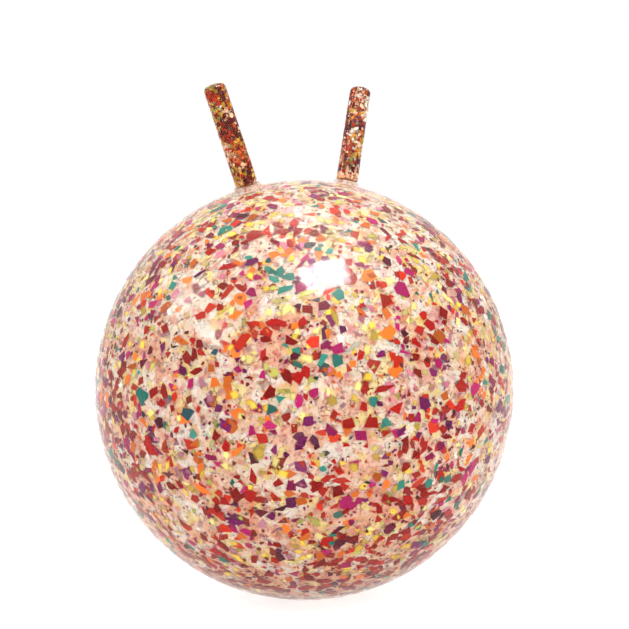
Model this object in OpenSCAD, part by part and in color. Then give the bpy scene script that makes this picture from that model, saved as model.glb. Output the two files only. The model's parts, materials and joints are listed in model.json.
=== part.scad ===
// Child's hopper ball: a clear moulded ball with two stick handles and a plugged air valve.
// Sizes are in millimetres and +Z is up. The origin is the middle of the patch that the ball
// rests on. The handles' roots are in the XZ plane, and the rider looks towards -Y.

/* [Ball] */
// Outside diameter of the blown-up ball
ball_d = 450; // [400:5:650]
// Thickness of the ball's moulded wall
wall_t = 1.6; // [1.2:0.1:3]
// Diameter of the patch that the ball's own weight presses flat
patch_d = 56; // [48:1:90]

/* [Handles] */
// Lean of each handle away from upright, in degrees
splay_deg = 16.3; // [12:0.1:24]
// Backward lean of each handle from straight out of the ball, in degrees
rake_deg = 5; // [0:0.5:8]
// Height of a handle's tip above the ball, along the handle
handle_h = 113.5; // [90:0.5:140]
// Diameter of a handle at its root
root_d = 24; // [20:0.5:30]
// Diameter of a handle just below its tip
tip_d = 23.5; // [19:0.5:29]
// Thickness of a handle's wall
handle_wall_t = 3.2; // [2:0.1:4.5]
// Radius that rounds the edge of a handle's tip
tip_edge_r = 5.5; // [5:0.1:8]
// Radius of the shallow dome across a handle's tip
tip_dome_r = 30; // [20:1:80]
// Diameter of the air hole in a handle's rounded foot
air_hole_d = 14; // [8:0.5:15]

/* [Handle collars] */
// Height of a collar above the ball
collar_h = 5; // [3:0.1:6.5]
// Thickness of a collar around its handle
collar_t = 1.3; // [0.8:0.1:3]
// Thickness of the collar's flared lip at its edge
lip_t = 0.5; // [0.3:0.1:0.9]
// Reach of a collar past the ball's inner wall
collar_inset = 2.4; // [1:0.1:5]
// Step from the handle's air hole out to the collar's
air_hole_step = 1.5; // [0.5:0.1:2]
// Largest tilt of a handle to the front or back from straight out of the ball, in degrees
flex_deg = 20; // [5:1:25]
// Running gap between a handle's rounded foot and its seat in the collar
flex_gap = 0.3; // [0.2:0.05:0.6]

/* [Valve] */
// Lean of the valve back from upright, in degrees
valve_lean_deg = 38; // [30:1:60]
// Diameter of the thickened pad around the valve
pad_d = 26; // [22:0.5:36]
// Thickness of the pad where it lies on the ball
pad_t = 0.9; // [0.7:0.1:2]
// Outside diameter of the sleeve that holds the plug
sleeve_d = 15; // [12:0.5:20]
// Depth of the sleeve below the ball's surface
sleeve_depth = 20; // [12:0.5:30]
// Diameter of the valve's bore
bore_d = 7; // [5:0.5:9]
// Clearance of each push fit, on the radius
fit_gap = 0.05; // [0.02:0.01:0.1]

/* [Plug] */
// Diameter of the plug's head
head_d = 14.5; // [11:0.5:18]
// Thickness of the plug's head
head_h = 2.4; // [1.8:0.1:4]
// Radius that rounds the edge of the plug's head
head_edge_r = 0.9; // [0.5:0.1:1.2]
// Depth of the recess that the head sits in
recess_h = 0.4; // [0.2:0.1:0.5]
// Clearance around the head in its recess
recess_gap = 0.3; // [0.2:0.1:1]
// Length of the plug's shank below its head
shank_l = 22; // [14:0.5:32]
// Length of the shank's pointed end
nose_l = 3; // [2:0.5:6]
// Diameter of the shank's pointed end
nose_d = 4.6; // [3:0.1:4.8]

/* [Hidden] */
$fn = 96;

// Overrun of every cut past the face that it opens
overrun = 5;

skin_tint = [0.93, 0.66, 0.56, 0.6];
handle_tint = [0.72, 0.36, 0.24, 0.9];
collar_tint = [0.90, 0.62, 0.48, 0.8];
sleeve_tint = [0.95, 0.88, 0.82, 0.7];
plug_tint = [0.96, 0.95, 0.92];

ball_r = ball_d / 2;
inner_r = ball_r - wall_t;
centre_h = sqrt(pow(ball_r, 2) - pow(patch_d / 2, 2));

root_r = root_d / 2;
tip_r = tip_d / 2;
air_hole_r = air_hole_d / 2;

// A collar's outside, and the height above the ball of the point that its handle tilts about
collar_r = root_r + collar_t;
flex_h = collar_h + root_r * sin(flex_deg) + flex_gap;

// The flare is an arc that leaves the collar's top edge straight down and ends at its lip,
// where its distance from the ball's surface is least
lip_r = ball_r + lip_t;
flare_r = (pow(collar_r, 2) + pow(ball_r + collar_h, 2) - pow(lip_r, 2)) / (2 * (lip_r - collar_r));
flare_foot_r = (collar_r + flare_r) * lip_r / (lip_r + flare_r);

// The valve's axis is measured from the ball's centre, and the plug's head sits on this height
seat_h = ball_r + pad_t - recess_h;
head_r = head_d / 2;
shank_r = bore_d / 2 - fit_gap;

LEFT = -1;
RIGHT = 1;

// Places children that are drawn along +Z from the ball's centre where a handle leaves the ball
module at_handle(side) {
    translate([0, 0, centre_h])
        rotate([0, side * splay_deg, 0])
            children();
}

// Places children that are drawn along +Z from the ball's centre where the valve is
module at_valve() {
    translate([0, 0, centre_h])
        rotate([-valve_lean_deg, 0, 0])
            children();
}

// Half outline of the ball between its centre line and a radius, with its foot cut flat
module ball_profile(radius, foot_h) {
    intersection() {
        translate([0, centre_h])
            circle(r = radius);
        translate([0, foot_h])
            square([radius, centre_h + radius]);
    }
}

// Half outline of a handle, or of the hollow inside it when thinned by its wall
module handle_profile(thin) {
    edge_r = tip_edge_r - thin;
    edge_x = tip_r - tip_edge_r;
    dome_h = ball_r + handle_h - tip_dome_r;
    edge_h = dome_h + sqrt(pow(tip_dome_r - tip_edge_r, 2) - pow(edge_x, 2));
    dome_r = tip_dome_r - thin;
    flex_at = ball_r + flex_h;
    intersection() {
        union() {
            // Rounded foot, about the point that the handle tilts about
            translate([0, flex_at])
                circle(r = root_r - thin);
            // Tapered stem
            polygon([[0, flex_at], [root_r - thin, flex_at], [tip_r - thin, edge_h], [0, edge_h]]);
            // Rounded edge of the tip
            translate([edge_x, edge_h])
                circle(r = edge_r);
            // Shallow dome across the tip, as far out as the rounded edge
            intersection() {
                translate([0, dome_h])
                    circle(r = dome_r);
                polygon([[0, dome_h], [2 * edge_x, 2 * edge_h - dome_h], [0, 2 * edge_h - dome_h]]);
            }
        }
        square([root_r, ball_r + handle_h]);
    }
}

// The handle leans back about the point that it tilts about, so its rounded foot stays in its seat
module handle(side) {
    flex_at = ball_r + flex_h;
    color(handle_tint)
        at_handle(side)
            translate([0, 0, flex_at])
                rotate([-rake_deg, 0, 0])
                    translate([0, 0, -flex_at])
                        rotate_extrude()
                            difference() {
                                handle_profile(0);
                                handle_profile(handle_wall_t);
                                square([air_hole_r, flex_at]);
                            }
}

// The thickened ring of the moulding that a handle stands in and flexes out of
module collar(side) {
    bottom_h = inner_r - collar_inset;
    top_h = ball_r + collar_h;
    color(collar_tint)
        at_handle(side)
            rotate_extrude()
                difference() {
                    union() {
                        translate([0, bottom_h])
                            square([collar_r, top_h - bottom_h]);
                        difference() {
                            square([flare_foot_r, top_h]);
                            circle(r = ball_r);
                            translate([collar_r + flare_r, top_h])
                                circle(r = flare_r);
                        }
                    }
                    translate([0, ball_r + flex_h])
                        circle(r = root_r + flex_gap);
                    square([air_hole_r + air_hole_step, ball_r + flex_h]);
                }
}

module ball_skin() {
    color(skin_tint)
        difference() {
            rotate_extrude()
                difference() {
                    ball_profile(ball_r, 0);
                    ball_profile(inner_r, wall_t);
                }
            for (side = [LEFT, RIGHT])
                at_handle(side)
                    translate([0, 0, inner_r - overrun])
                        cylinder(h = wall_t + 2 * overrun, r = collar_r + fit_gap);
            at_valve()
                translate([0, 0, inner_r - overrun])
                    cylinder(h = wall_t + 2 * overrun, r = sleeve_d / 2 + fit_gap);
        }
}

module left_handle() {
    handle(LEFT);
}

module right_handle() {
    handle(RIGHT);
}

module left_handle_collar() {
    collar(LEFT);
}

module right_handle_collar() {
    collar(RIGHT);
}

// Pad on the ball's surface with the plug's recess, and a sleeve that hangs inside the ball
module valve_sleeve() {
    color(sleeve_tint)
        at_valve()
            rotate_extrude()
                difference() {
                    union() {
                        intersection() {
                            difference() {
                                circle(r = ball_r + pad_t);
                                circle(r = ball_r);
                            }
                            square([pad_d / 2, ball_r + pad_t]);
                        }
                        translate([0, ball_r - sleeve_depth])
                            square([sleeve_d / 2, seat_h - ball_r + sleeve_depth]);
                    }
                    translate([0, seat_h])
                        square([head_r + recess_gap, recess_h + overrun]);
                    square([bore_d / 2, ball_r + pad_t + overrun]);
                }
}

// Head with a rounded edge, and a shank with a pointed end
module valve_plug() {
    top_h = seat_h + head_h;
    end_h = seat_h - shank_l;
    color(plug_tint)
        at_valve()
            rotate_extrude()
                difference() {
                    polygon([
                        [0, top_h],
                        [head_r, top_h],
                        [head_r, seat_h],
                        [shank_r, seat_h],
                        [shank_r, end_h + nose_l],
                        [nose_d / 2, end_h],
                        [0, end_h]
                    ]);
                    translate([head_r - head_edge_r, top_h - head_edge_r])
                        difference() {
                            square(head_edge_r + overrun);
                            circle(r = head_edge_r);
                        }
                }
}

ball_skin();
left_handle();
right_handle();
left_handle_collar();
right_handle_collar();
valve_sleeve();
valve_plug();
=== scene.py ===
import json
import math
from collections import namedtuple

import bpy
import numpy as np
from mathutils import Matrix, Vector


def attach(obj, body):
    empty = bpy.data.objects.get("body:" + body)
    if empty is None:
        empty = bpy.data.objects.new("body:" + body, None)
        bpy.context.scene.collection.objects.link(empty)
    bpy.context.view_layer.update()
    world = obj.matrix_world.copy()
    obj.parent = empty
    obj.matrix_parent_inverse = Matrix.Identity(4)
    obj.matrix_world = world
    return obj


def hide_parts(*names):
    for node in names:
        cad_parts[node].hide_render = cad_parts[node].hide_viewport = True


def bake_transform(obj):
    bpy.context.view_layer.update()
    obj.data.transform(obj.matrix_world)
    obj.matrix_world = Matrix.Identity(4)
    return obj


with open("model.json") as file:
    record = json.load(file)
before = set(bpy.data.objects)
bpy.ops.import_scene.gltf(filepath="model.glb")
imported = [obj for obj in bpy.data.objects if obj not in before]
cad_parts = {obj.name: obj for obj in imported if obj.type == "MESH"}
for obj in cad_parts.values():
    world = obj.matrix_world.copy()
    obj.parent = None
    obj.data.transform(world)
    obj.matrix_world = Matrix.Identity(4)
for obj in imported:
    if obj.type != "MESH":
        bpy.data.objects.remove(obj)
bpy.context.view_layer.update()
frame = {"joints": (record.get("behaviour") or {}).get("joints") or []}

MM = 0.001
UP = np.array([0.0, 0.0, 1.0])
WHITE = (1.0, 1.0, 1.0, 1.0)
GREY = (0.5, 0.5, 0.5, 1.0)
SIDES = ("left", "right")
JOINTS = {joint["name"]: joint for joint in frame["joints"]}

# Ball: its outside radius, its wall, and the radius of the patch that its weight presses flat
BALL_R = 225 * MM
WALL = 1.6 * MM
PATCH_R = 28 * MM
CENTRE = np.array([0.0, 0.0, math.sqrt(BALL_R ** 2 - PATCH_R ** 2)])

# Handle: heights are measured from the ball's surface, along the handle, which leans back by RAKE
ROOT_R = 12 * MM
TIP_R = 11.75 * MM
HANDLE_H = 113.5 * MM
HANDLE_WALL = 3.2 * MM
TIP_EDGE_R = 5.5 * MM
TIP_DOME_R = 30 * MM
AIR_HOLE_R = 7 * MM
RAKE = math.radians(5)

# As near as this to the middle of its tip, a handle's chips are placed as on a flat disc
TIP_ZONE = 0.9 * TIP_R

# Collar that a handle stands in, with the flare that runs out on the ball
COLLAR_R = 13.3 * MM
COLLAR_H = 5 * MM
COLLAR_INSET = 2.4 * MM
COLLAR_HOLE_R = 8.5 * MM
COLLAR_EDGE_R = 0.35 * MM
LIP = 0.5 * MM
SEAT_GAP = 0.3 * MM
FIT_GAP = 0.05 * MM

# Valve: its pad on the ball, the sleeve inside it, and the recess for the plug's head
PAD_R = 13 * MM
PAD_T = 0.9 * MM
SLEEVE_R = 7.5 * MM
SLEEVE_DEPTH = 20 * MM
BORE_R = 3.5 * MM
RECESS = 0.4 * MM
RECESS_GAP = 0.3 * MM

# Plug: its head with a ring groove, and its shank with a barb behind a pointed end
HEAD_R = 7.25 * MM
HEAD_H = 2.4 * MM
HEAD_EDGE_R = 0.9 * MM
GROOVE_R = 0.55 * HEAD_R
GROOVE_W = 0.5 * MM
GROOVE_D = 0.3 * MM
SHANK_R = 3.45 * MM
SHANK_L = 22 * MM
NOSE_R = 2.3 * MM
NOSE_L = 3 * MM
BEVEL = 0.3 * MM

# How finely pieces are cut: squares along the edge of each of the ball's six faces, sides of what
# is turned on a lathe, and points of a handle's outline, for the handle and for its chips
BALL_CELLS = 64
HANDLE_SIDES = 64
PLUG_SIDES = 64
RING_SIDES = 72
HANDLE_FINE = 8
GRIP_FINE = 40
# Edges of what is turned on a lathe are sharp from this angle up
SHARP_FROM = math.radians(40)

# Chips lie in layers, from just under the wall's outside inwards
LAYERS = 4
COVER = 0.12 * MM
LAYER_STEP = 0.36 * MM
DEPTH_SPREAD = 0.06 * MM
CHIP_T = 0.22 * MM

# Numbers of corners that a chip can have, how common each is, and how far a corner moves from
# its even share of a turn and from the half width
CORNERS = (3, 4, 5, 6)
CORNER_SHARES = (0.12, 0.46, 0.27, 0.15)
CORNER_SHIFT = 0.34
CORNER_REACH = (0.58, 1.2)

# Chips tried in one layer: how many, their mean width, its deviation, and the least and greatest
BALL_PIECES = (1850, 11.6 * MM, 2.5 * MM, 6.8 * MM, 18 * MM)
GRIP_PIECES = (290, 4.9 * MM, 1.0 * MM, 2.8 * MM, 7.5 * MM)
GRIP_BITS = (360, 2.5 * MM, 0.5 * MM, 1.3 * MM, 3.6 * MM)
# The ball's bits follow a gamma law of this shape instead
BALL_BITS = 2900
BIT_SHAPE = 4.0
BIT_MEAN = 3.2 * MM
BIT_LEAST = 1.4 * MM
BIT_WIDTH = 6.5 * MM

# Places that are tried for each chip, and the least distance between two chips of a layer, as a
# share of their mean width
TRIES = 10
BALL_SPACING = 0.8
GRIP_SPACING = 0.86
# Least distance of a chip's middle from a hole and from a collar, as a share of its width
HOLE_SPACING = 0.62
COLLAR_SPACING = 0.6

# Ranges in which chips are drawn out one way, and the share of long shards among the ball's
BALL_STRETCH = (1.0, 1.25)
GRIP_STRETCH = (1.0, 1.4)
LONG_STRETCH = (1.35, 1.75)
LONG_SHARE = 0.09

# Share of the ball's chips that is kept in a plain place, and how much clusters of two sizes and
# the patches further down add to it or take from it
FILL = 0.97
CROWDS = ((90 * MM, 0.3), (36 * MM, 0.32))
PATCH_CROWD = 0.8

# Size of the clusters in which chips of one colour gather, how strongly they do, and the number
# of waves that make them
BALL_CLUSTER = 24 * MM
GRIP_CLUSTER = 15 * MM
CLUSTER_STRENGTH = 1.35
WAVES = 8

SEEDS = {"ball": 7, "left": 11, "right": 12}

# Colours of the ball's chips, with their shares among the large chips and among the bits
CHIP_COLOURS = {
    "crimson": ((172, 16, 8), 0.36, 0.26),
    "scarlet": ((206, 42, 16), 0.09, 0.07),
    "orange": ((242, 118, 34), 0.09, 0.06),
    "yellow": ((249, 206, 70), 0.115, 0.05),
    "lemon": ((251, 232, 138), 0.09, 0.05),
    "magenta": ((180, 20, 96), 0.08, 0.08),
    "rose": ((216, 118, 142), 0.03, 0.03),
    "mauve": ((186, 118, 138), 0.02, 0.10),
    "purple": ((120, 18, 88), 0.055, 0.08),
    "plum": ((104, 18, 44), 0.03, 0.07),
    "teal": ((46, 134, 118), 0.055, 0.03),
    "slate": ((34, 70, 78), 0.01, 0.03),
    "lime": ((206, 198, 92), 0.035, 0.02),
    "pearl": ((255, 248, 230), 0.01, 0.02),
    "umber": ((110, 42, 28), 0.0, 0.25),
}
# Colours whose chips fade out, from this share of their outline
SOFT = ("yellow", "lemon", "rose", "mauve", "lime", "pearl")
SOFT_SHARE = 0.32
# How much commoner a colour is at the ball's top than at its middle, and so rarer at its foot: painted light
# and shade, with lighter colours at the lit top and darker ones at the shaded foot
PAINTED_LIGHT_PULL = {
    "crimson": -0.7, "umber": -0.9, "purple": -0.4, "magenta": -0.1, "mauve": -0.3,
    "plum": -0.5, "yellow": 0.4, "lemon": 0.6, "pearl": 0.7, "rose": 0.5,
    "orange": 0.3, "teal": 0.3,
}
# A crowded patch draws its colours as if it were lower by this many radii of the ball, so it takes the
# darker colours of the painted shade
PATCH_SINK = 2
# Patches of the ball that hold more chips than the rest, or fewer: the pixel of their middle,
# their size, and how much more
PATCHES = [
    ((184, 298), 28 * MM, -1.0),
    ((441, 384), 18 * MM, -0.9),
    ((268, 478), 17 * MM, -0.8),
    ((361, 452), 17 * MM, -0.8),
    ((191, 524), 17 * MM, -0.8),
    ((397, 225), 20 * MM, -0.8),
    ((213, 341), 16 * MM, -0.7),
    ((348, 390), 14 * MM, -0.7),
    ((122, 440), 28 * MM, 1.0),
    ((343, 575), 24 * MM, 0.8),
    ((243, 331), 18 * MM, 0.7),
    ((303, 325), 18 * MM, 0.7),
    ((261, 276), 16 * MM, 0.6),
    ((402, 507), 20 * MM, 0.7),
    ((420, 343), 18 * MM, 0.7),
    ((317, 473), 17 * MM, 0.6),
    ((487, 368), 18 * MM, 0.6),
]

# Colours of the handles' chips, with their shares in the left handle and in the right one
GRIP_COLOURS = {
    "maroon": ((100, 16, 12), 0.15, 0.16),
    "brick": ((180, 44, 16), 0.26, 0.16),
    "rust": ((212, 92, 32), 0.19, 0.12),
    "amber": ((212, 150, 48), 0.19, 0.10),
    "salmon": ((250, 192, 150), 0.06, 0.16),
    "olive": ((176, 154, 58), 0.10, 0.06),
    "plum": ((96, 34, 56), 0.05, 0.12),
    "cream": ((255, 238, 214), 0.01, 0.12),
    "berry": ((170, 40, 66), 0.00, 0.06),
}
# Parts of each handle where one colour is common: its name, the nearer and farther end as
# distances from the middle of the tip, and how much commoner it is
GRIP_ZONES = {
    "left": [("olive", 0, 14 * MM, 1.6), ("salmon", 108 * MM, 130 * MM, 3.6)],
    "right": [
        ("plum", 0, 11 * MM, 1.6), ("cream", 19 * MM, 33 * MM, 3.2), ("salmon", 108 * MM, 130 * MM, 3.6)],
}

# Milk over the deeper chips, how much of it there is, and how mottled the chips are
CHIP_MILK = ((255, 192, 150), 0.05, 0.16)
GRIP_MILK = ((150, 90, 50), 0.25, 0.3)
# How dark and how bright a chip of one colour can be, as shares of its colour
TONES = (0.36, 1.12)

# Clear vinyl: depth of its ripples, and strength of its sheen at the edges
BALL_GLOSS = (0.5 * MM, 0.36)
GRIP_GLOSS = (0.1 * MM, 0.0)
# Shares of the ripples that are broad waves and smaller dents
RIPPLES = {"Waves": 0.6, "Dents": 0.5}
# Its gloss, with the share that is a broad bloom
GLOSS_IOR = 1.28
GLOSS_ROUGHNESS = 0.09
BLOOM_ROUGHNESS = 0.42
BLOOM_COLOUR = (255, 246, 238)
BLOOM_SHARE = 0.4

# Cloudy vinyl: its pale, warm and line colours, and how solid it is where it is thin and thick
CLOUDS = {
    "cloudy_wall": ((255, 244, 220), (251, 190, 152), (128, 54, 46), 0.76, 0.94),
    "cloudy_ring": ((255, 242, 226), (252, 210, 186), (140, 74, 62), 0.6, 0.9),
    "grip_core": ((244, 190, 118), (186, 104, 44), (84, 36, 18), 0.6, 0.95),
    "valve_cloud": ((248, 236, 224), (236, 214, 196), (190, 160, 140), 0.6, 0.85),
}
# How much warmer and darker the wall is painted at its foot, and paler at its top, as painted shade and
# light; how strong all speckles are; and the share of the light that shines through
WALL_PAINTED_SHADE = 0.12
SPECKLE = 0.62
SHINE_THROUGH = 0.3
# Turns per metre of the noise that makes the speckles, and of the cells that make the lines
MARKS = {"Speckles": 340.0, "Cells": 110.0}
# Soft patches of colour in the wall's cloudy side, like chips seen far off through it: the
# colour, turns of the noise per metre, how rare the patch is, and how strong it gets
GLOWS = [
    ((232, 136, 110), 84.0, 0.53, 0.65),
    ((255, 252, 238), 44.0, 0.54, 0.9),
    ((255, 234, 130), 60.0, 0.57, 0.8),
    ((236, 136, 156), 72.0, 0.61, 0.5),
    ((248, 156, 78), 70.0, 0.62, 0.6),
    ((112, 50, 62), 90.0, 0.62, 0.6),
    ((90, 170, 156), 76.0, 0.66, 0.4),
]
# The same for the collars
RING_GLOWS = [
    ((255, 251, 240), 110.0, 0.5, 0.8),
    ((150, 140, 116), 210.0, 0.58, 0.7),
    ((206, 112, 100), 170.0, 0.6, 0.7),
]

# White plastic of the plug, where it is darker and lighter
PLUG_SHADES = ((240, 238, 232), (248, 247, 243))

# Camera: it stands off the ball's centre, and is then turned, tipped and rolled a little
IMAGE_SIDE = 629
SENSOR = 36.0
FOCAL_PX = 1240.8
CAMERA_AWAY = 6 * BALL_R
CAMERA_TURN = math.radians(-34.3)
CAMERA_RISE = math.radians(9.04)
AIM_TURN = math.radians(-0.569)
AIM_RISE = math.radians(3.362)
AIM_ROLL = math.radians(-1.89)

# Soft boxes: how far each stands from the ball's centre to the camera's back and right and
# straight up, its width and height, and its brightness
BOXES = [
    ("overhead_box", (0.25, 0.0, 1.35), 1.7, 1.5, 1.35),
    ("front_box", (1.9, 0.9, 0.6), 1.6, 1.6, 1.0),
]
# Boxes that are seen in the gloss alone: the pixel where each is mirrored, its width and height,
# and its brightness
GLINTS = [
    ("window_glint", (324, 275), 0.58, 0.36, 110.0),
    ("side_glint", (186, 296), 0.3, 0.4, 16.0),
    ("low_glint", (218, 332), 0.35, 0.25, 24.0),
    ("top_sheen", (322, 236), 1.5, 0.8, 4.0),
]
GLINT_AWAY = 1.4

# Floor: a round disc just under the ball, its grey, and how much it glows to the eye
FLOOR_R = 12
FLOOR_SIDES = 96
FLOOR_DROP = 0.2 * MM
FLOOR_GREY = (230, 230, 230)
FLOOR_GLOW = 0.75


def unit(vectors):
    """The same directions, each with a length of 1."""
    return vectors / np.linalg.norm(vectors, axis=-1, keepdims=True)


def axes_along(direction):
    """Three unit axes, the last along direction and the first square to it, in its plane with +X."""
    across = unit(np.array([1.0, 0, 0]) - direction[0] * direction)
    return across, np.cross(direction, across), direction


def turned(vector, axis, angle):
    """A vector turned about a unit axis: v cos a + (n x v) sin a + n (n . v) (1 - cos a)."""
    return (vector * math.cos(angle) + np.cross(axis, vector) * math.sin(angle)
            + axis * (axis @ vector) * (1 - math.cos(angle)))


def joint_vector(joint, key):
    """A joint's place or axis, from the frame."""
    return np.array(JOINTS[joint][key], float)


def root_direction(side):
    """Unit vector from the ball's centre through a handle's root: square to its flex axis."""
    axis = joint_vector(side + "_handle_flex", "axis")
    return unit(np.array([-axis[2], 0, axis[0]]))


def handle_line(side):
    """A handle's own line, as its start and its direction. It leans back about the flex point, and
    starts as far below that point as the ball's centre is."""
    axis = joint_vector(side + "_handle_flex", "axis")
    direction = turned(root_direction(side), axis, -RAKE)
    return joint_vector(side + "_handle_flex", "pos_m") - FLEX_AT * direction, direction


# Distance from the ball's centre to the point that a handle tilts about
FLEX_AT = float(np.linalg.norm(joint_vector("left_handle_flex", "pos_m") - CENTRE))
VALVE_DIRECTION = unit(joint_vector("valve_plug_pull", "axis"))
# Round holes in the ball: the direction of each from the centre, and its radius
HOLES = [
    (root_direction("left"), COLLAR_R + FIT_GAP),
    (root_direction("right"), COLLAR_R + FIT_GAP),
    (VALVE_DIRECTION, SLEEVE_R + FIT_GAP),
]


# Camera

def camera_axes():
    """The camera's right, up and back axes, and its place: it looks at the ball's centre from
    CAMERA_TURN and CAMERA_RISE, and is then turned, tipped and rolled a little."""
    back = np.array([
        math.sin(CAMERA_TURN) * math.cos(CAMERA_RISE),
        -math.cos(CAMERA_TURN) * math.cos(CAMERA_RISE),
        math.sin(CAMERA_RISE)])
    place = CENTRE + back * CAMERA_AWAY
    right = unit(np.cross(UP, back))
    up = np.cross(back, right)
    back, right = turned(back, up, AIM_TURN), turned(right, up, AIM_TURN)
    back, up = turned(back, right, AIM_RISE), turned(up, right, AIM_RISE)
    right, up = turned(right, back, AIM_ROLL), turned(up, back, AIM_ROLL)
    return right, up, back, place


def add_camera():
    """The camera, with its matrix made of its axes and its place."""
    right, up, back, place = camera_axes()
    data = bpy.data.cameras.new("camera")
    data.sensor_width = SENSOR
    data.lens = FOCAL_PX * SENSOR / IMAGE_SIDE
    data.clip_start, data.clip_end = 0.05, 100.0
    camera = bpy.data.objects.new("camera", data)
    bpy.context.scene.collection.objects.link(camera)
    matrix = np.eye(4)
    matrix[:3, 0], matrix[:3, 1], matrix[:3, 2], matrix[:3, 3] = right, up, back, place
    camera.matrix_world = Matrix(matrix.tolist())
    bpy.context.scene.camera = camera


def mirror_ray(pixel):
    """Where the sight line of a pixel meets the ball, and the direction in which it is mirrored."""
    right, up, back, place = camera_axes()
    half = IMAGE_SIDE / 2
    ray = unit((pixel[0] - half) * right - (pixel[1] - half) * up - FOCAL_PX * back)
    to_centre = CENTRE - place
    along = ray @ to_centre
    reach = along - math.sqrt(BALL_R ** 2 - (to_centre @ to_centre - along ** 2))
    hit = place + ray * reach
    normal = unit(hit - CENTRE)
    return hit, ray - 2 * (ray @ normal) * normal


# Meshes

def make_piece(name, points, face_tables, materials, slots=None, smooth=True, attributes=None):
    """A mesh object from points and face tables. Each table has one row of corner numbers for
    each face, slots gives each table's material, and attributes are numbers kept at the points."""
    mesh = bpy.data.meshes.new(name)
    sides = np.concatenate([np.full(len(table), table.shape[1]) for table in face_tables])
    corners = np.concatenate([table.ravel() for table in face_tables])
    mesh.vertices.add(len(points))
    mesh.vertices.foreach_set("co", np.asarray(points, np.float32).ravel())
    mesh.loops.add(len(corners))
    mesh.loops.foreach_set("vertex_index", corners.astype(np.int32))
    mesh.polygons.add(len(sides))
    mesh.polygons.foreach_set("loop_start", (np.cumsum(sides) - sides).astype(np.int32))
    mesh.polygons.foreach_set("use_smooth", np.full(len(sides), smooth))
    if slots:
        worn = np.concatenate([np.full(len(table), slot) for table, slot in zip(face_tables, slots)])
        mesh.polygons.foreach_set("material_index", worn.astype(np.int32))
    for material in materials:
        mesh.materials.append(material)
    for key, values in (attributes or {}).items():
        mesh.attributes.new(key, "FLOAT", "POINT").data.foreach_set("value", values.astype(np.float32))
    mesh.update(calc_edges=True)
    if mesh.validate():
        raise ValueError(name + " has a face that can't be drawn")
    piece = bpy.data.objects.new(name, mesh)
    bpy.context.scene.collection.objects.link(piece)
    return piece


def arc(centre, radius, start, end, count):
    """Points of an outline on a circle, from one angle to another in degrees. 0 points outwards
    and 90 points up."""
    turn = np.radians(np.linspace(start, end, count))
    return np.stack([centre[0] + radius * np.cos(turn), centre[1] + radius * np.sin(turn)], 1)


def lathe(name, outline, start, direction, sides, materials, inner_from=None):
    """A closed outline of (radius, height) turned about the line from start along direction. It
    runs up its outer side and down its inner one. A point with no radius becomes one closed pole.
    From the point inner_from on, the faces wear the second material."""
    outline = np.asarray(outline, float)
    across, aside, along = axes_along(direction)
    angle = np.linspace(0, 2 * math.pi, sides, endpoint=False)
    ring = np.cos(angle)[:, None] * across + np.sin(angle)[:, None] * aside
    at_pole = outline[:, 0] < 1e-9
    counts = np.where(at_pole, 1, sides)
    starts = np.cumsum(counts) - counts
    rows = [
        np.full(sides, first) if pole else first + np.arange(sides)
        for first, pole in zip(starts, at_pole)
    ]
    points = [
        start + radius * (ring[:1] if pole else ring) + height * along
        for (radius, height), pole in zip(outline, at_pole)
    ]
    tables, slots = [], []
    for index, (row, after) in enumerate(zip(rows, rows[1:] + rows[:1])):
        next_row, next_after = np.roll(row, -1), np.roll(after, -1)
        row_is_pole, after_is_pole = row[0] == row[1], after[0] == after[1]
        if row_is_pole and after_is_pole:
            continue
        if row_is_pole:
            tables.append(np.stack([row, next_after, after], 1))
        elif after_is_pole:
            tables.append(np.stack([row, next_row, after], 1))
        else:
            tables.append(np.stack([row, next_row, next_after, after], 1))
        slots.append(0 if inner_from is None or index < inner_from else 1)
    piece = make_piece(name, np.concatenate(points), tables, materials, slots=slots)
    piece.data.set_sharp_from_angle(angle=SHARP_FROM)
    return piece


# Ball

def ball_grid(cells):
    """Directions over the whole ball, and quads as rows of four corner numbers. The six faces of
    a cube are cut into squares whose lines are evenly spaced in angle, then blown up to a ball."""
    edge = np.tan(np.linspace(-math.pi / 4, math.pi / 4, cells + 1))
    u, v = (side.ravel() for side in np.meshgrid(edge, edge, indexing="ij"))
    one = np.ones_like(u)
    sides = [(one, u, v), (v, one, u), (u, v, one), (-one, v, u), (u, -one, v), (v, u, -one)]
    points = unit(np.concatenate([np.stack(side, 1) for side in sides]))
    corner = np.arange((cells + 1) ** 2).reshape(cells + 1, cells + 1)
    square = [corner[:-1, :-1], corner[1:, :-1], corner[1:, 1:], corner[:-1, 1:]]
    quads = np.stack(square, -1).reshape(-1, 4)
    quads = np.concatenate([quads + side * corner.size for side in range(6)])
    merged, number = np.unique(np.round(points, 7), axis=0, return_inverse=True)
    return unit(merged), number.reshape(-1)[quads]


def cut_hole(points, quads, direction, radius):
    """Takes out the quads whose middle is inside a round hole, and draws the corners that are
    left round it onto the hole's edge."""
    angle = math.asin(radius / BALL_R)
    inside = unit(points[quads].mean(1)) @ direction > math.cos(angle)
    edge = np.intersect1d(quads[inside], quads[~inside])
    away = unit(points[edge] - (points[edge] @ direction)[:, None] * direction)
    points[edge] = math.cos(angle) * direction + math.sin(angle) * away
    return quads[~inside]


def flattened(points, depth):
    """Points with those below the flat foot lifted onto it. The foot is as deep in the wall as
    they are."""
    lifted = points.copy()
    lifted[..., 2] = np.maximum(points[..., 2], depth)
    return lifted


def patch_pull(places):
    """How far each place on the ball, given as a direction, is in a crowded patch, or below 0 in
    a bare one. Each patch fades out as exp(-(distance / size)^2)."""
    total = np.zeros(len(places))
    for pixel, size, strength in PATCHES:
        middle = unit(mirror_ray(pixel)[0] - CENTRE)
        away = np.linalg.norm(places - middle, axis=1) * BALL_R
        total += strength * np.exp(-(away / size) ** 2)
    return total


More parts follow.
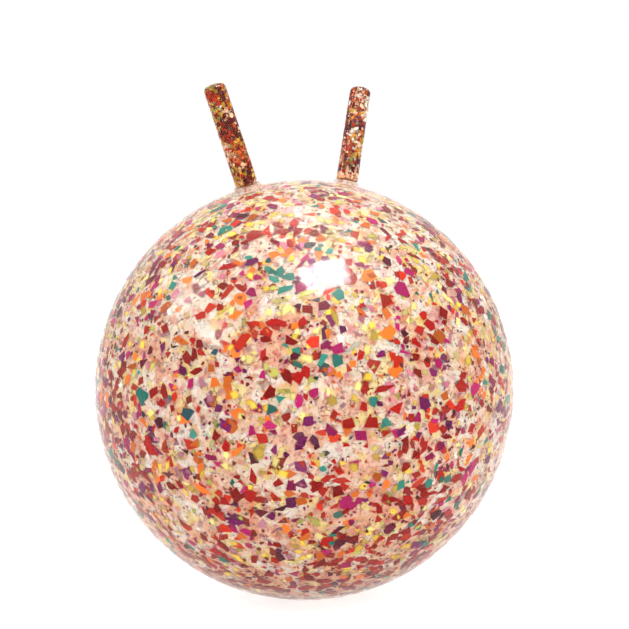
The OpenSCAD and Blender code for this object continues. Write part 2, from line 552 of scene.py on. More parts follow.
def ball_wall(materials):
    """The hollow ball: an outer and an inner ball with a flat foot, joined round each hole. How
    crowded each place is stays with its points."""
    points, quads = ball_grid(BALL_CELLS)
    for direction, radius in HOLES:
        quads = cut_hole(points, quads, direction, radius)
    used, quads = np.unique(quads, return_inverse=True)
    points, quads = points[used], quads.reshape(-1, 4)
    outer = flattened(CENTRE + BALL_R * points, 0)
    inner = flattened(CENTRE + (BALL_R - WALL) * points, WALL)
    count = len(points)
    start, end = quads.ravel(), np.roll(quads, -1, axis=1).ravel()
    open_edge = ~np.isin(start * count + end, end * count + start)
    start, end = start[open_edge], end[open_edge]
    rim = np.stack([end, start, start + count, end + count], 1)
    tables = [quads, quads[:, ::-1] + count, rim]
    return make_piece(
        "ball_wall", np.concatenate([outer, inner]), tables, materials, slots=(0, 1, 0),
        attributes={"wall_patch": np.tile(patch_pull(points), 2)})


# Handles

def handle_outline(thin, fine):
    """Half outline of a handle from its air hole to the middle of its tip, or of its hollow when
    thinned by its wall: a round foot, a tapered stem, a rounded edge and a shallow dome. The arcs
    have twice as many points as fine says, and the stem has five times as many."""
    edge_x = TIP_R - TIP_EDGE_R
    dome_h = BALL_R + HANDLE_H - TIP_DOME_R
    edge_h = dome_h + math.sqrt((TIP_DOME_R - TIP_EDGE_R) ** 2 - edge_x ** 2)
    turn = math.degrees(math.atan2(edge_h - dome_h, edge_x))
    foot_r = ROOT_R - thin
    foot_turn = -math.degrees(math.acos(AIR_HOLE_R / foot_r))
    stem = np.linspace(0, 1, 5 * fine)[1:-1, None]
    foot, top = np.array([foot_r, FLEX_AT]), np.array([TIP_R - thin, edge_h])
    return np.concatenate([
        arc((0, FLEX_AT), foot_r, foot_turn, 0, 2 * fine),
        foot + (top - foot) * stem,
        arc((edge_x, edge_h), TIP_EDGE_R - thin, 0, turn, 2 * fine),
        arc((0, dome_h), TIP_DOME_R - thin, turn, 90, 2 * fine)[1:],
    ])


def handle_wall(side, materials):
    """The hollow handle, closed over its tip and open at the air hole in its foot."""
    outer, inner = handle_outline(0, HANDLE_FINE), handle_outline(HANDLE_WALL, HANDLE_FINE)
    outline = np.concatenate([outer, inner[::-1]])
    outline[outline[:, 0] < 1e-6, 0] = 0
    return lathe(side + "_grip", outline, *handle_line(side), HANDLE_SIDES, materials, len(outer))


def collar(side, material):
    """The thick ring that a handle stands in. Its flare is an arc that leaves the top edge
    straight down and runs out on the ball, and its seat is a ball about the flex point."""
    top = BALL_R + COLLAR_H
    bottom = BALL_R - WALL - COLLAR_INSET
    lip_r = BALL_R + LIP
    flare_r = (COLLAR_R ** 2 + top ** 2 - lip_r ** 2) / (2 * (lip_r - COLLAR_R))
    foot_r = (COLLAR_R + flare_r) * lip_r / (lip_r + flare_r)
    flare_x = COLLAR_R + flare_r
    low_turn = -math.degrees(math.acos((flare_x - foot_r) / flare_r))
    seat_r = ROOT_R + SEAT_GAP
    seat_low = -math.degrees(math.acos(COLLAR_HOLE_R / seat_r))
    seat_top = -math.degrees(math.asin((FLEX_AT - top) / seat_r))
    under = np.linspace(COLLAR_R, foot_r, 4)
    flare = arc((flare_x, top), flare_r, 180 - low_turn, 180, 10)
    rounded = arc((COLLAR_R - COLLAR_EDGE_R, top - COLLAR_EDGE_R), COLLAR_EDGE_R, 0, 90, 5)
    seat = arc((0, FLEX_AT), seat_r, seat_top, seat_low, 16)
    seat = seat[seat[:, 1] < top - COLLAR_EDGE_R]
    inner_edge = arc((seat[0, 0] + COLLAR_EDGE_R, top - COLLAR_EDGE_R), COLLAR_EDGE_R, 90, 180, 5)
    outline = np.concatenate([
        [[COLLAR_HOLE_R, bottom], [COLLAR_R, bottom]],
        np.stack([under, np.sqrt(BALL_R ** 2 - under ** 2)], 1),
        flare[flare[:, 1] < top - COLLAR_EDGE_R],
        rounded,
        inner_edge,
        seat[1:],
    ])
    return lathe(side + "_collar_ring", outline, CENTRE, root_direction(side), RING_SIDES, [material])


# Valve

def valve_body(material):
    """The pad on the ball, its recess for the plug's head, and the sleeve that hangs inside. The
    pad's edge is an arc of 0.6 times its thickness, and its faces follow the ball."""
    pad_top = BALL_R + PAD_T
    edge_r = 0.6 * PAD_T
    edge_x = PAD_R - edge_r
    edge_h = math.sqrt(pad_top ** 2 - PAD_R ** 2) - edge_r
    seat = pad_top - RECESS
    recess_r = HEAD_R + RECESS_GAP
    sleeve_end = BALL_R - SLEEVE_DEPTH
    under = np.linspace(SLEEVE_R, PAD_R, 5)
    over = np.linspace(edge_x, recess_r + RECESS_GAP, 8)
    outline = np.concatenate([
        [[BORE_R, sleeve_end], [SLEEVE_R - RECESS, sleeve_end]],
        arc((SLEEVE_R - RECESS, sleeve_end + RECESS), RECESS, -90, 0, 5)[1:],
        np.stack([under, np.sqrt(BALL_R ** 2 - under ** 2)], 1),
        arc((edge_x, edge_h), edge_r, 0, 80, 6),
        np.stack([over, np.sqrt(pad_top ** 2 - over ** 2)], 1),
        [[recess_r, seat + 0.7 * RECESS], [recess_r, seat], [BORE_R, seat]],
    ])
    return lathe("valve_body", outline, CENTRE, VALVE_DIRECTION, RING_SIDES, [material])


def plug(material):
    """The push-in plug: a head with a rounded edge and a shallow ring groove, and a shank with a
    pointed end and a barb that holds it in the bore."""
    seat = BALL_R + PAD_T - RECESS
    top = seat + HEAD_H
    end = seat - SHANK_L
    dip = np.linspace(0, math.pi, 9)
    outline = np.concatenate([
        [[0, end], [NOSE_R - BEVEL, end], [NOSE_R, end + BEVEL]],
        [[SHANK_R, end + NOSE_L], [SHANK_R, end + 2 * NOSE_L]],
        [[SHANK_R - BEVEL, end + 2 * NOSE_L + BEVEL], [SHANK_R - BEVEL, end + 3 * NOSE_L]],
        [[SHANK_R, end + 3 * NOSE_L + BEVEL], [SHANK_R, seat]],
        [[HEAD_R - BEVEL, seat], [HEAD_R, seat + BEVEL]],
        arc((HEAD_R - HEAD_EDGE_R, top - HEAD_EDGE_R), HEAD_EDGE_R, 0, 90, 7),
        np.stack([GROOVE_R + GROOVE_W * np.cos(dip), top - GROOVE_D * np.sin(dip)], 1),
        [[0, top]],
    ])
    return lathe("plug", outline, CENTRE, VALVE_DIRECTION, PLUG_SIDES, [material])


# Chips

Chips = namedtuple("Chips", "places widths stretch depth layer")


def pick(chips, which):
    """Some of the chips, chosen by a mask or by their numbers."""
    return Chips(*(values[which] for values in chips))


def drawn_widths(rng, count, mean, deviation, least, greatest):
    """Random widths about a mean, held between the least and the greatest."""
    return rng.normal(mean, deviation, count).clip(least, greatest)


def layer_chips(rng, layer, places, widths, stretches, long_share=0.0):
    """The chips of one layer. Each is drawn out by a random amount in the range stretches, or in
    a longer one for a share of them, and lies at COVER + layer * LAYER_STEP and a little more."""
    count = len(widths)
    stretch = rng.uniform(*stretches, count)
    if long_share:
        long_ones = rng.random(count) < long_share
        stretch[long_ones] = rng.uniform(*LONG_STRETCH, long_ones.sum())
    depth = COVER + layer * LAYER_STEP + rng.uniform(0, DEPTH_SPREAD, count)
    return Chips(places, widths, stretch, depth, np.full(count, layer / (LAYERS - 1)))


def cut_outlines(rng, widths, corners, stretch):
    """Outlines of chips cut from sheet, as x and y of each corner. A corner stands at an even
    share of a turn, moved by up to a third of a step, at about the half width. The outline is
    then drawn out one way, narrowed as much the other way, and turned by a random angle."""
    count = len(widths)
    step = 2 * math.pi / corners
    turn = step * (np.arange(corners) + rng.uniform(-CORNER_SHIFT, CORNER_SHIFT, (count, corners)))
    reach = widths[:, None] / 2 * rng.uniform(*CORNER_REACH, (count, corners))
    x = reach * np.cos(turn) * stretch[:, None]
    y = reach * np.sin(turn) / stretch[:, None]
    spin = rng.uniform(0, 2 * math.pi, (count, 1))
    return x * np.cos(spin) - y * np.sin(spin), x * np.sin(spin) + y * np.cos(spin)


def on_ball(places, x, y, depth):
    """Points in the ball's wall. A place is a direction, x and y are measured on the ball from
    there along two axes square to it, and depth is measured in from its outside."""
    sign = np.where(places[:, 2] < 0, -1.0, 1.0)
    share = -1 / (sign + places[:, 2])
    cross = places[:, 0] * places[:, 1] * share
    across = np.stack([1 + sign * places[:, 0] ** 2 * share, sign * cross, -sign * places[:, 0]], 1)
    aside = np.stack([cross, sign + places[:, 1] ** 2 * share, -places[:, 1]], 1)
    moved = x[..., None] * across[:, None] + y[..., None] * aside[:, None]
    direction = unit(places[:, None] + moved / BALL_R)
    points = CENTRE + direction * (BALL_R - depth)[..., None]
    return flattened(points, depth)


def grip_map(side):
    """A function that puts chips in a handle's wall, as on_ball does for the ball. A place is the
    distance along the handle's outline and the angle round it. Near the tip, x and y are measured
    on the dome from the middle of the tip. The outline and its distances are given with it."""
    outline = handle_outline(0, GRIP_FINE)
    steps = np.linalg.norm(np.diff(outline, axis=0), axis=1)
    station = np.concatenate([[0], np.cumsum(steps)])
    facing = np.gradient(outline, station, axis=0)
    facing = unit(np.stack([facing[:, 1], -facing[:, 0]], 1))
    total = station[-1]
    origin, direction = handle_line(side)
    across, aside, along = axes_along(direction)

    def put(places, x, y, depth):
        """Points at x and y from places, and depth under the handle's outside."""
        start, angle = places[:, :1], places[:, 1:]
        on_tip = total - start < TIP_ZONE
        flat_x = (total - start) * np.cos(angle) + x
        flat_y = (total - start) * np.sin(angle) + y
        round_stem = angle + x / np.maximum(np.interp(start, station, outline[:, 0]), MM)
        turn = np.where(on_tip, np.arctan2(flat_y, flat_x), round_stem)
        reach = np.where(on_tip, total - np.hypot(flat_x, flat_y), start + y)
        reach = np.clip(reach, 0, total - 0.05 * MM)
        radius, height = (
            np.interp(reach, station, outline[:, way]) - depth * np.interp(reach, station, facing[:, way])
            for way in (0, 1))
        outward = np.cos(turn)[..., None] * across + np.sin(turn)[..., None] * aside
        return origin + radius[..., None] * outward + height[..., None] * along

    return put, station, outline


def middles(put, places):
    """The points of places, on the outside of the wall."""
    flat = np.zeros((len(places), 1))
    return put(places, flat, flat, flat)[:, 0]


def clear_of_holes(places, width):
    """True for places on the ball where a chip of this width stays out of every hole."""
    clear = np.ones(len(places), bool)
    for direction, radius in HOLES:
        clear &= np.linalg.norm(places - direction, axis=1) * BALL_R > radius + width * HOLE_SPACING
    return clear


def scatter(rng, widths, propose, locate, close):
    """Places for the chips of one layer, the widest first. Each takes the first of a few random
    places at which its middle is far enough from every chip before it. The rest are left out."""
    widths = np.sort(widths)[::-1]
    places, points_kept, kept = [], np.zeros((len(widths), 3)), []
    for width in widths:
        tried = propose(rng, TRIES, width)
        points = locate(tried)
        if kept:
            gap = np.linalg.norm(points[:, None] - points_kept[None, :len(kept)], axis=2)
            free = (gap > close * (width + np.array(kept)) / 2).all(1)
        else:
            free = np.ones(len(tried), bool)
        if free.any():
            first = int(np.argmax(free))
            points_kept[len(kept)] = points[first]
            kept.append(width)
            places.append(tried[first])
    return np.array(places), np.array(kept)


def cluster_pull(rng, spots, colours, size):
    """A smooth random pull towards each of a number of colours at each spot, so that chips of one
    colour gather in clusters of about this size. Each pull is half the sum of some sine waves."""
    ways = unit(rng.normal(size=(colours, WAVES, 3))) * math.pi / size
    phase = rng.uniform(0, 2 * math.pi, (colours, WAVES))
    return np.sin(np.einsum("pi,kwi->pkw", spots, ways) + phase).sum(2) / 2


def chip_mesh(rng, put, chips, soft):
    """Flat chips, as points, face tables, the number of each point's chip and a mask that is 1 at
    the inner points. Only soft chips have inner points: their outline drawn in to SOFT_SHARE of
    its size, with a strip of faces round it."""
    points, tops, sides, strips, owners, inner = [], [], [], [], [], []
    start = 0
    corners_of = rng.choice(CORNERS, len(chips.places), p=CORNER_SHARES)
    for corners in CORNERS:
        mine = np.flatnonzero(corners_of == corners)
        if not len(mine):
            continue
        own = pick(chips, mine)
        x, y = cut_outlines(rng, own.widths, corners, own.stretch)
        depth = np.broadcast_to(own.depth[:, None], x.shape)
        rings = [put(own.places, x, y, depth), put(own.places, x, y, depth + CHIP_T)]
        if soft:
            rings.append(put(own.places, x * SOFT_SHARE, y * SOFT_SHARE, depth))
        shape = (len(mine), len(rings), corners)
        number = start + np.arange(math.prod(shape)).reshape(shape)
        start += number.size
        upper, lower = number[:, 0], number[:, 1]
        next_upper, next_lower = np.roll(upper, -1, 1), np.roll(lower, -1, 1)
        points.append(np.concatenate(rings, 1).reshape(-1, 3))
        owners.append(np.repeat(mine, len(rings) * corners))
        inner.append(np.tile(np.repeat(np.arange(len(rings)) == 2, corners), len(mine)))
        tops.append(number[:, 2] if soft else upper)
        tops.append(lower[:, ::-1])
        sides.append(np.stack([upper, lower, next_lower, next_upper], -1).reshape(-1, 4))
        if soft:
            within = number[:, 2]
            next_within = np.roll(within, -1, 1)
            strips.append(np.stack([upper, next_upper, next_within, within], -1).reshape(-1, 4))
    tables = tops + [np.concatenate(sides)] + ([np.concatenate(strips)] if soft else [])
    return np.concatenate(points), tables, np.concatenate(owners), np.concatenate(inner)


def chip_pieces(name, rng, put, chips, shares, zones, cluster, materials):
    """One piece for each colour of chip. A chip's colour is drawn by the colours' shares, which
    are given for large chips and for bits, and by the pull of its cluster and zone. Its tone and
    layer are kept at its points."""
    keys = list(shares)
    large, bits = np.array([shares[key] for key in keys], float).T
    odds = np.where((chips.widths > BIT_WIDTH)[:, None], large / large.sum(), bits / bits.sum())
    pulls = cluster_pull(rng, middles(put, chips.places), len(keys), cluster)
    score = np.log(odds + 1e-9) + CLUSTER_STRENGTH * pulls
    for key, pull in zones.items():
        score[:, keys.index(key)] += pull
    drawn = (score + rng.gumbel(size=score.shape)).argmax(1)
    pieces = []
    for index, key in enumerate(keys):
        own = pick(chips, drawn == index)
        if len(own.places) < 2:
            continue
        points, tables, owner, inner = chip_mesh(rng, put, own, key in SOFT)
        tone = rng.uniform(-1, 1, len(own.places))
        marks = {"chip_tone": tone[owner], "chip_depth": own.layer[owner]}
        if key in SOFT:
            marks["chip_inner"] = inner
        pieces.append(make_piece(
            name + "_" + key, points, tables, [materials[key]], smooth=False, attributes=marks))
    return pieces


def joined(layers):
    """The chips of all layers together."""
    return Chips(*(np.concatenate(values) for values in zip(*layers)))


def ball_chips(materials):
    """Chips in layers through the ball's wall: large pieces, some long shards, and small bits."""
    rng = np.random.default_rng(SEEDS["ball"])

    def propose(rng, count, width):
        """Random directions, without those at a hole."""
        tried = unit(rng.normal(size=(count, 3)))
        return tried[clear_of_holes(tried, width)]

    layers = []
    for layer in range(LAYERS):
        large = drawn_widths(rng, *BALL_PIECES)
        bits = rng.gamma(BIT_SHAPE, BIT_MEAN / BIT_SHAPE, BALL_BITS).clip(BIT_LEAST, BIT_WIDTH)
        widths = np.concatenate([large, bits])
        places, widths = scatter(rng, widths, propose, lambda tried: tried * BALL_R, BALL_SPACING)
        crowd = PATCH_CROWD * patch_pull(places)
        for size, strength in CROWDS:
            crowd += strength * cluster_pull(rng, places * BALL_R, 1, size)[:, 0]
        dense = rng.random(len(widths)) < FILL + crowd
        layers.append(layer_chips(rng, layer, places[dense], widths[dense], BALL_STRETCH, LONG_SHARE))
    chips = joined(layers)
    shares = {key: given[1:] for key, given in CHIP_COLOURS.items()}
    # Painted light and shade: lighter colours are commoner at the lit top, darker ones at the shaded foot
    # and in crowded patches
    lightness = chips.places[:, 2] - PATCH_SINK * patch_pull(chips.places)
    zones = {key: pull * lightness for key, pull in PAINTED_LIGHT_PULL.items()}
    return chip_pieces("ball_chips", rng, on_ball, chips, shares, zones, BALL_CLUSTER, materials)


def grip_chips(side, materials):
    """Small chips packed in layers through a handle's wall, from its collar's top to its tip."""
    rng = np.random.default_rng(SEEDS[side])
    put, station, outline = grip_map(side)
    lowest = np.interp(BALL_R + COLLAR_H, outline[:, 1], station)

    def propose(rng, count, width):
        """Random distances along the outline from the collar up, with random angles round it."""
        start = rng.uniform(lowest + width * COLLAR_SPACING, station[-1], count)
        return np.stack([start, rng.uniform(-math.pi, math.pi, count)], 1)

    layers = []
    for layer in range(LAYERS):
        widths = np.concatenate([drawn_widths(rng, *GRIP_PIECES), drawn_widths(rng, *GRIP_BITS)])
        places, widths = scatter(rng, widths, propose, lambda tried: middles(put, tried), GRIP_SPACING)
        layers.append(layer_chips(rng, layer, places, widths, GRIP_STRETCH))
    chips = joined(layers)
    own = SIDES.index(side) + 1
    shares = {key: (given[own], given[own]) for key, given in GRIP_COLOURS.items() if given[own]}
    below = station[-1] - chips.places[:, 0]
    zones = {key: pull * ((below > near) & (below < far)) for key, near, far, pull in GRIP_ZONES[side]}
    return chip_pieces(side + "_grip_chips", rng, put, chips, shares, zones, GRIP_CLUSTER, materials)


# Materials

def srgb(red, green, blue):
    """A colour as it is seen on a screen, 0 to 255, turned into the shader's linear numbers."""
    share = np.array([red, green, blue]) / 255
    linear = np.where(share <= 0.04045, share / 12.92, ((share + 0.055) / 1.055) ** 2.4)
    return (*linear.tolist(), 1.0)


def add_node(tree, kind, values=None, **settings):
    """A shader node with its settings, and its inputs set to values or linked to other outputs."""
    made = tree.nodes.new("ShaderNode" + kind)
    for key, value in settings.items():
        setattr(made, key, value)
    for key, value in (values or {}).items():
        socket = made.inputs[key]
        if isinstance(value, bpy.types.NodeSocket):
            tree.links.new(value, socket)
        else:
            socket.default_value = value
    return made


def new_material(name):
    """An empty node material, with its node tree and its output node."""
    material = bpy.data.materials.new(name)
    material.use_nodes = True
    material.node_tree.nodes.clear()
    return material, material.node_tree, add_node(material.node_tree, "OutputMaterial")


def new_group(name, inputs, outputs):
    """A node group, as its tree and the sockets that it is given and makes. A socket that stands
    for a colour has a tuple for its value, and one that stands for a number has a number."""
    group = bpy.data.node_groups.new(name, "ShaderNodeTree")
    for way, sockets in (("INPUT", inputs), ("OUTPUT", outputs)):
        for label, value in sockets.items():
            kind = "NodeSocketColor" if isinstance(value, tuple) else "NodeSocketFloat"
            group.interface.new_socket(label, in_out=way, socket_type=kind).default_value = value
    given, made = group.nodes.new("NodeGroupInput"), group.nodes.new("NodeGroupOutput")
    return group, given.outputs, made.inputs


def use_group(tree, group, values=None):
    """The outputs of a node group that is placed in a material with its own values."""
    return add_node(tree, "Group", values, node_tree=group).outputs


def object_place(tree):
    """Object coordinates, in metres."""
    return add_node(tree, "TexCoord").outputs["Object"]


def kept_value(tree, name):
    """A number that a piece keeps at its points."""
    return add_node(tree, "Attribute", attribute_name=name).outputs["Fac"]


def calc(tree, operation, *values, kind="Math"):
    """The result of a sum on numbers, or on vectors with the kind VectorMath."""
    return add_node(tree, kind, dict(enumerate(values)), operation=operation).outputs[0]


def mix(tree, share, first, second, blend="MIX"):
    """The result of a colour mix."""
    values = {0: share, 6: first, 7: second}
    return add_node(tree, "Mix", values, data_type="RGBA", blend_type=blend).outputs[2]


def mix_shaders(tree, share, first, second):
    """The result of a mix of two shaders."""
    return add_node(tree, "MixShader", {0: share, 1: first, 2: second}).outputs[0]


def noise(tree, where, turns, detail=2.0, roughness=0.5):
    """The value of a noise with a number of turns per metre."""
    values = {"Vector": where, "Scale": turns, "Detail": detail, "Roughness": roughness}
    return add_node(tree, "TexNoise", values).outputs["Fac"]


def spread(tree, value, given, wanted=(0.0, 1.0)):
    """A value spread from one range to another, and held at its ends."""
    ends = {"From Min": given[0], "From Max": given[1], "To Min": wanted[0], "To Max": wanted[1]}
    return add_node(tree, "MapRange", {"Value": value, **ends}).outputs["Result"]


def mottle_group():
    """Vinyl colour: each chip has its own tone, a deep one is milky, and fine mottling covers it."""
    inputs = {"Colour": GREY, "Milk": GREY, "Milkiness": 0.0, "Mottling": 0.0}
    outputs = {"Colour": GREY, "Roughness": 0.0, "Height": 0.0}
    group, given, made = new_group("vinyl_mottle", inputs, outputs)
    where = object_place(group)
    fine = noise(group, where, 700.0, 3.0)
    broad = noise(group, where, 130.0)
    bright = spread(group, kept_value(group, "chip_tone"), (-1.0, 1.0), TONES)
    light = calc(group, "ADD", bright, calc(group, "MULTIPLY", fine, given["Mottling"]))
    shade = add_node(group, "CombineColor", {"Red": light, "Green": light, "Blue": light})
    toned = mix(group, 1.0, given["Colour"], shade.outputs[0], "MULTIPLY")
    sunk = calc(group, "POWER", kept_value(group, "chip_depth"), 2.0)
    deep = calc(group, "MULTIPLY", sunk, given["Milkiness"])
    group.links.new(mix(group, deep, toned, given["Milk"]), made["Colour"])
    group.links.new(spread(group, broad, (0.3, 0.7), (0.3, 0.5)), made["Roughness"])
    group.links.new(fine, made["Height"])
    return group


def ripple_group():
    """Relief of a moulded surface: broad waves with smaller dents in them."""
    group, given, made = new_group("vinyl_ripple", {"Waves": 0.0, "Dents": 0.0}, {"Height": 0.0})
    where = object_place(group)
    wave = calc(group, "MULTIPLY", noise(group, where, 40.0, 1.0), given["Waves"])
    dent = calc(group, "MULTIPLY", noise(group, where, 130.0), given["Dents"])
    group.links.new(calc(group, "ADD", wave, dent), made["Height"])
    return group


def cloud_group():
    """Broad clouds of a pale and a warm colour. They are warmer in a crowded patch, and warmer towards the
    ball's foot and paler towards its top as painted shade and light."""
    group, given, made = new_group("vinyl_cloud", {"Pale": GREY, "Warm": GREY, "Painted_shade": 0.0}, {"Colour": GREY})
    where = object_place(group)
    height = add_node(group, "SeparateXYZ", {0: where}).outputs["Z"]
    # Painted shade and light: the cloud is warmer towards the foot and paler towards the top
    rise = calc(group, "MULTIPLY", given["Painted_shade"], -1.0)
    lower = spread(group, height, (0.0, 2 * BALL_R), (given["Painted_shade"], rise))
    deeper = calc(group, "MULTIPLY_ADD", kept_value(group, "wall_patch"), 0.15, lower)
    cloud_sum = calc(group, "ADD", noise(group, where, 26.0, 4.0, 0.6), deeper)
    warmth = spread(group, cloud_sum, (0.4, 0.6))
    group.links.new(mix(group, warmth, given["Pale"], given["Warm"]), made["Colour"])
    return group


def glow_group():
    """Soft patches of one colour over a ground: where a noise is above the rarity."""
    inputs = {"Ground": GREY, "Glow": GREY, "Turns": 60.0, "Rarity": 0.6, "Strength": 0.5, "Shift": 0.0}
    group, given, made = new_group("vinyl_glow", inputs, {"Colour": GREY})
    shift = add_node(group, "CombineXYZ", {"X": given["Shift"], "Y": 2.1, "Z": 0.7}).outputs[0]
    moved = calc(group, "ADD", object_place(group), shift, kind="VectorMath")
    full = calc(group, "ADD", given["Rarity"], 0.07)
    strength = (0.0, given["Strength"])
    patch = spread(group, noise(group, moved, given["Turns"], 1.0), (given["Rarity"], full), strength)
    group.links.new(mix(group, patch, given["Ground"], given["Glow"]), made["Colour"])
    return group


def mark_group():
    """Masks of what marks cloudy vinyl: 1 on plain vinyl and 0 in a fine speckle, and 0.8 on a thin
    curved line and 0 off it. The lines are the edges of bent cells, seen here and there."""
    group, given, made = new_group("vinyl_marks", MARKS, {"Plain": 1.0, "Lines": 0.0})
    where = object_place(group)
    bend = add_node(group, "TexNoise", {"Vector": where, "Scale": 45.0, "Detail": 2.0}).outputs["Color"]
    off = calc(group, "MULTIPLY", bend, (0.02, 0.02, 0.02), kind="VectorMath")
    bent = calc(group, "ADD", where, off, kind="VectorMath")
    cells = {"Vector": bent, "Scale": given["Cells"]}
    edges = add_node(group, "TexVoronoi", cells, feature="DISTANCE_TO_EDGE").outputs["Distance"]
    lines = spread(group, edges, (0.02, 0.06), (0.8, 0.0))
    seen = spread(group, noise(group, where, 90.0, 1.0), (0.55, 0.6))
    plain = spread(group, noise(group, where, given["Speckles"], 2.0, 0.7), (0.34, 0.46))
    group.links.new(plain, made["Plain"])
    group.links.new(calc(group, "MULTIPLY", lines, seen), made["Lines"])
    return group


def chip_material(name, mottle, colour, milk, milkiness, mottling, soft=False):
    """One colour of chip. A soft one fades out towards its outline."""
    material, tree, out = new_material(name)
    values = {"Colour": srgb(*colour), "Milk": srgb(*milk), "Milkiness": milkiness, "Mottling": mottling}
    vinyl = use_group(tree, mottle, values)
    relief = {"Height": vinyl["Height"], "Strength": 0.2, "Distance": 0.2 * MM}
    shader = add_node(tree, "BsdfPrincipled", {
        "Base Color": vinyl["Colour"], "Roughness": vinyl["Roughness"],
        "Normal": add_node(tree, "Bump", relief).outputs[0], "Specular IOR Level": 0.0}).outputs[0]
    if soft:
        clear = add_node(tree, "BsdfTransparent").outputs[0]
        solid = spread(tree, kept_value(tree, "chip_inner"), (0.0, 0.8), (0.0, 0.95))
        shader = mix_shaders(tree, solid, clear, shader)
    tree.links.new(shader, out.inputs["Surface"])
    return material


def clear_material(name, ripple, depth, sheen):
    """The clear outside of the moulding: see-through and slightly rippled, with a gloss that grows
    towards its edges by Fresnel's law or by its sheen, whichever is more. Part of the gloss is
    broad, like a bloom. Seen from inside, it has none."""
    material, tree, out = new_material(name)
    height = use_group(tree, ripple, RIPPLES)["Height"]
    bump = add_node(tree, "Bump", {"Height": height, "Strength": 1.0, "Distance": depth}).outputs[0]
    edge = add_node(tree, "Fresnel", {"IOR": GLOSS_IOR, "Normal": bump}).outputs[0]
    front = calc(tree, "SUBTRACT", 1.0, add_node(tree, "NewGeometry").outputs["Backfacing"])
    facing = add_node(tree, "LayerWeight", {"Blend": 0.5}).outputs["Facing"]
    veil = spread(tree, facing, (0.55, 1.0), (0.0, sheen))
    share = calc(tree, "MULTIPLY", calc(tree, "MAXIMUM", edge, veil), front)
    gloss = add_node(tree, "BsdfGlossy", {"Roughness": GLOSS_ROUGHNESS, "Normal": bump}).outputs[0]
    broad = {"Roughness": BLOOM_ROUGHNESS, "Color": srgb(*BLOOM_COLOUR)}
    bloom = add_node(tree, "BsdfGlossy", broad).outputs[0]
    clear = add_node(tree, "BsdfTransparent").outputs[0]
    both = mix_shaders(tree, share, clear, mix_shaders(tree, BLOOM_SHARE, gloss, bloom))
    tree.links.new(both, out.inputs["Surface"])
    return material


def milky_material(name, groups, painted_shade=0.0, glows=()):
    """The cloudy side of a clear wall: pale and warm in broad clouds, with soft glows of colour,
    finely speckled, crossed by thin curved lines, and more or less see-through. Part of the light
    shines through it."""
    material, tree, out = new_material(name)
    pale, warm, line = (srgb(*colour) for colour in CLOUDS[name][:3])
    thin, thick = CLOUDS[name][3:]
    clouds, patches, marks = groups
    ground = use_group(tree, clouds, {"Pale": pale, "Warm": warm, "Painted_shade": painted_shade})["Colour"]
    for index, (colour, turns, rarity, most) in enumerate(glows):
        values = {"Glow": srgb(*colour), "Turns": turns, "Rarity": rarity, "Strength": most}
        ground = use_group(tree, patches, {"Ground": ground, "Shift": 1.3 + index, **values})["Colour"]
    masks = use_group(tree, marks, MARKS)
    specks = mix(tree, masks["Plain"], line, (1.0, 0.99, 0.97, 1.0))
    lined = mix(tree, masks["Lines"], mix(tree, SPECKLE, ground, specks, "MULTIPLY"), line)
    solid = spread(tree, masks["Plain"], (0.0, 1.0), (thick, thin))
    look = {"Base Color": lined, "Roughness": 0.45, "Specular IOR Level": 0.1}
    face = add_node(tree, "BsdfPrincipled", look).outputs[0]
    glow = add_node(tree, "BsdfTranslucent", {"Color": lined}).outputs[0]
    clear = add_node(tree, "BsdfTransparent").outputs[0]
    share = calc(tree, "MAXIMUM", solid, masks["Lines"])
    both = mix_shaders(tree, share, clear, mix_shaders(tree, SHINE_THROUGH, face, glow))
    tree.links.new(both, out.inputs["Surface"])
    return material


def plug_material():
    """White moulded plastic, satin, with fine grain."""
    material, tree, out = new_material("plug_white")
    where = object_place(tree)
    grain = noise(tree, where, 2500.0, 3.0)
    shade = spread(tree, noise(tree, where, 160.0), (0.3, 0.7))
    relief = {"Height": grain, "Strength": 0.25, "Distance": 0.05 * MM}
    shader = add_node(tree, "BsdfPrincipled", {
        "Base Color": mix(tree, shade, *(srgb(*colour) for colour in PLUG_SHADES)),
        "Roughness": spread(tree, grain, (0.3, 0.7), (0.3, 0.42)),
        "Normal": add_node(tree, "Bump", relief).outputs[0]})
    tree.links.new(shader.outputs[0], out.inputs["Surface"])
    return material


# Lamps and floor

def soft_lamp(name, place, target, width, height, brightness, only_gloss=False):
    """A soft box that faces a point. Its brightness is that of its face, where 1 is white."""
    data = bpy.data.lights.new(name, "AREA")
    data.shape = "RECTANGLE"
    data.size, data.size_y = width, height
    data.energy = brightness * math.pi * width * height
    lamp = bpy.data.objects.new(name, data)
    bpy.context.scene.collection.objects.link(lamp)
    lamp.location = Vector(place)
    lamp.rotation_euler = Vector(target - place).to_track_quat("-Z", "Y").to_euler()
    lamp.visible_camera = False
    if only_gloss:
        lamp.visible_diffuse = False
        lamp.visible_transmission = False
        lamp.visible_shadow = False


def add_lamps():
    """Two boxes that light the ball, and the glints, each where its pixel's sight line is mirrored."""
    right, _, back, _ = camera_axes()
    for name, (behind, aside, above), width, height, brightness in BOXES:
        place = CENTRE + behind * back + aside * right + above * UP
        soft_lamp(name, place, CENTRE, width, height, brightness)
    for name, pixel, width, height, brightness in GLINTS:
        hit, way = mirror_ray(pixel)
        soft_lamp(name, hit + way * GLINT_AWAY, hit, width, height, brightness, only_gloss=True)


def add_world():
    """Plain white all round."""
    world = bpy.data.worlds.new("studio")
    bpy.context.scene.world = world
    world.use_nodes = True
    world.node_tree.nodes.clear()
    sky = add_node(world.node_tree, "Background", {"Color": WHITE, "Strength": 1.0})
    add_node(world.node_tree, "OutputWorld", {"Surface": sky.outputs[0]})


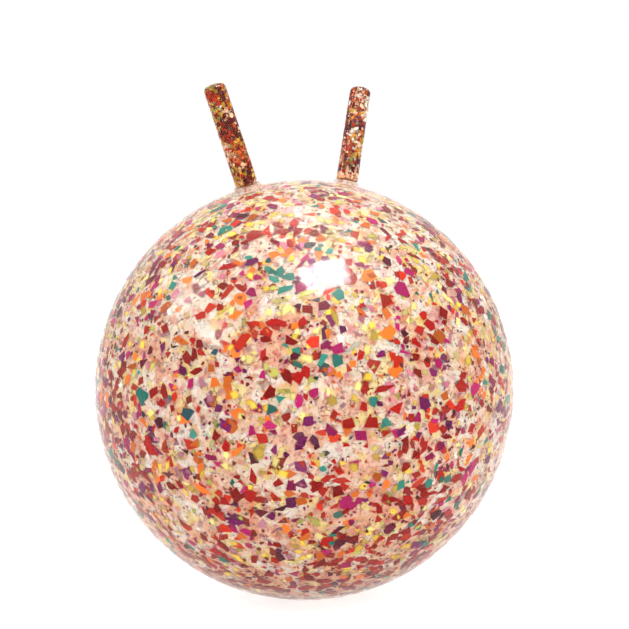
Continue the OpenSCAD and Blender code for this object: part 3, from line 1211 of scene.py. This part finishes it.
def add_floor():
    """A wide pale floor. It glows a little to the eye, so that it meets the white behind it, and
    it keeps the ball's soft shadow."""
    material, tree, out = new_material("floor_white")
    path = add_node(tree, "LightPath").outputs
    seen = calc(tree, "MAXIMUM", path["Is Camera Ray"], path["Is Glossy Ray"])
    seen = calc(tree, "MAXIMUM", seen, path["Is Transmission Ray"])
    shader = add_node(tree, "BsdfPrincipled", {
        "Base Color": srgb(*FLOOR_GREY), "Roughness": 0.9, "Specular IOR Level": 0.0,
        "Emission Color": WHITE, "Emission Strength": calc(tree, "MULTIPLY", seen, FLOOR_GLOW)})
    tree.links.new(shader.outputs[0], out.inputs["Surface"])
    turn = np.linspace(0, 2 * math.pi, FLOOR_SIDES, endpoint=False)
    rim = np.stack([FLOOR_R * np.cos(turn), FLOOR_R * np.sin(turn), np.full(FLOOR_SIDES, -FLOOR_DROP)], 1)
    floor = make_piece("floor", rim, [np.arange(FLOOR_SIDES)[None]], [material], smooth=False)


# The toy

def bend_with_handle(piece, side):
    """Bakes the piece's place into its points."""
    origin, along = handle_line(side)
    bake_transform(piece)


def build_toy():
    """All pieces of the toy. The ball's pieces and the plug are put on their bodies, and the CAD nodes that
    pieces take the place of are hidden."""
    mottle, ripple = mottle_group(), ripple_group()
    milky = (cloud_group(), glow_group(), mark_group())
    chips = {key: chip_material("chip_" + key, mottle, given[0], *CHIP_MILK, soft=key in SOFT)
             for key, given in CHIP_COLOURS.items()}
    grips = {key: chip_material("grip_" + key, mottle, given[0], *GRIP_MILK)
             for key, given in GRIP_COLOURS.items()}
    gloss = clear_material("clear_gloss", ripple, *BALL_GLOSS)
    grip_gloss = clear_material("grip_gloss", ripple, *GRIP_GLOSS)
    haze = milky_material("cloudy_wall", milky, WALL_PAINTED_SHADE, GLOWS)
    ring = milky_material("cloudy_ring", milky, glows=RING_GLOWS)
    core = milky_material("grip_core", milky)
    cloudy = milky_material("valve_cloud", milky)

    wall = ball_wall([gloss, haze])
    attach(wall, "ball")
    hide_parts("ball_skin")
    for piece in ball_chips(chips):
        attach(piece, "ball")

    for side in SIDES:
        grip = handle_wall(side, [grip_gloss, core])
        bend_with_handle(grip, side)
        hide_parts(side + "_handle")
        for piece in grip_chips(side, grips):
            bend_with_handle(piece, side)
        foot = collar(side, ring)
        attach(foot, "ball")
        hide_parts(side + "_handle_collar")

    body = valve_body(cloudy)
    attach(body, "ball")
    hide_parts("valve_sleeve")
    stopper = plug(plug_material())
    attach(stopper, "valve_plug")
    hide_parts("valve_plug")


add_camera()
add_lamps()
add_world()
add_floor()
build_toy()
bpy.context.scene.view_settings.view_transform = "Standard"
